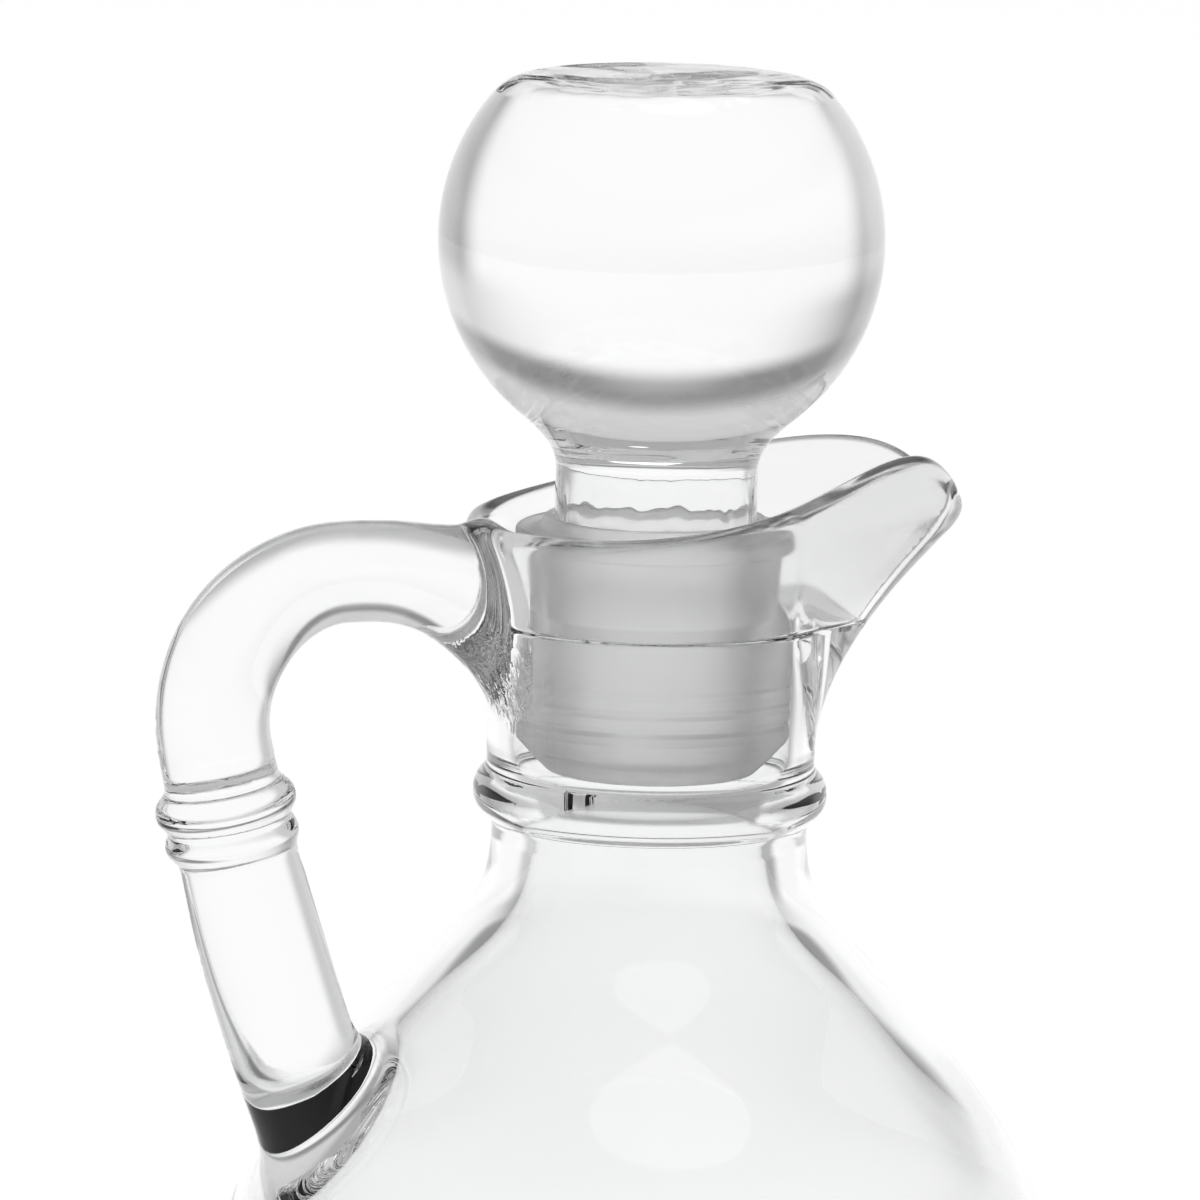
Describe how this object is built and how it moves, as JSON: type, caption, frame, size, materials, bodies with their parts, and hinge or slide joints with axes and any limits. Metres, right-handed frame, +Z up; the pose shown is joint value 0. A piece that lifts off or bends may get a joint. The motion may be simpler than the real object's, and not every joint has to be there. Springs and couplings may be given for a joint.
{
  "type": "oil and vinegar cruet",
  "caption": "Round-bellied clear glass cruet with a loop handle and a pouring lip, closed by a solid glass ball stopper in a plastic sleeve.",
  "frame": {"origin": "centre of the foot ring, on the plane the bottle stands on", "axes": "+Z up along the bottle's axis, +X towards the pouring spout, -X towards the handle, +Y to the left of the spout as seen from the handle"},
  "size_m": [0.0884, 0.079, 0.1582],
  "materials": {
    "clear_glass": "fire-polished colourless soda-lime glass",
    "sleeve_plastic": "translucent moulded polyethylene, satin"
  },
  "bodies": {
    "bottle": {"bottle_body": "clear_glass", "handle": "clear_glass"},
    "sleeve": {"stopper_sleeve": "sleeve_plastic"},
    "stopper": {"stopper_knob": "clear_glass"}
  },
  "joints": [
    {"name": "stopper_lift", "type": "slide", "parent": "bottle", "child": "sleeve", "axis": [0, 0, 1], "range_m": [0, 0.045]},
    {"name": "stopper_twist", "type": "hinge", "parent": "sleeve", "child": "stopper", "pos_m": [0, 0, 0.12], "axis": [0, 0, 1], "continuous": true}
  ]
}
